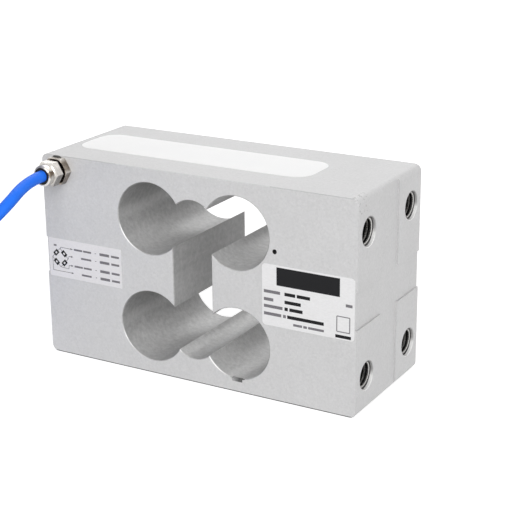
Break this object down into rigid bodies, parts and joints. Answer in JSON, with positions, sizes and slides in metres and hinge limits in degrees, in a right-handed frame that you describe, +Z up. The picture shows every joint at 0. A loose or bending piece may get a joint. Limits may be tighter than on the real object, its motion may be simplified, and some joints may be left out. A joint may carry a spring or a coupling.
{
  "type": "single point load cell",
  "caption": "Aluminium beam load cell with a bored spring cut-out, sealed gauge pockets, threaded end pads, a cable gland and a coiled cable.",
  "frame": {"origin": "middle of the beam's bottom face, without the cable and its gland", "axes": "+X along the beam away from the cable end, -Y out of the face that carries the gland and the stickers, +Z up"},
  "size_m": [0.2695, 0.1204, 0.0905],
  "materials": {
    "beam": "fine matte blasted and clear anodised",
    "sealant": "smooth white silicone",
    "gauge": "amber film with bright foil",
    "board": "green circuit board",
    "resistor": "dark moulded body",
    "wire_white": "white insulation",
    "wire_yellow": "yellow insulation",
    "wire_brown": "brown insulation",
    "wire_green": "green insulation",
    "wire_enamel": "enamelled copper",
    "wire_tinned": "twisted tinned strands",
    "gland_metal": "nickel plated",
    "seal_rubber": "matte black",
    "cable_blue": "satin blue jacket",
    "sleeve_black": "shrunk black sleeve",
    "label_grey": "matte printed film",
    "label_white": "matte printed film"
  },
  "bodies": {
    "root": {"beam_body": "beam", "top_sealant": "sealant", "bottom_sealant": "sealant", "gauge_top_left": "gauge", "gauge_top_right": "gauge", "gauge_bottom_left": "gauge", "gauge_bottom_right": "gauge", "terminal_board": "board", "terminal_strip": "board", "zero_trim_resistor": "resistor", "span_trim_resistor": "resistor", "temperature_trim_resistor": "resistor", "core_white": "wire_white", "core_yellow": "wire_yellow", "core_brown": "wire_brown", "core_green": "wire_green", "link_wires": "wire_enamel", "leads_top_left": "wire_enamel", "leads_top_right": "wire_enamel", "leads_bottom_left": "wire_enamel", "leads_bottom_right": "wire_enamel", "gland_body": "gland_metal", "gland_cap_nut": "gland_metal", "gland_o_ring": "seal_rubber", "gland_seal": "seal_rubber", "cable_jacket": "cable_blue", "cable_lead": "cable_blue", "cable_coil": "cable_blue", "cable_tail": "cable_blue", "cable_sleeve": "sleeve_black", "end_core_white": "wire_white", "end_core_yellow": "wire_yellow", "end_core_brown": "wire_brown", "end_core_green": "wire_green", "end_shield": "wire_tinned", "wiring_label": "label_grey", "rating_label": "label_white"}
  },
  "joints": []
}
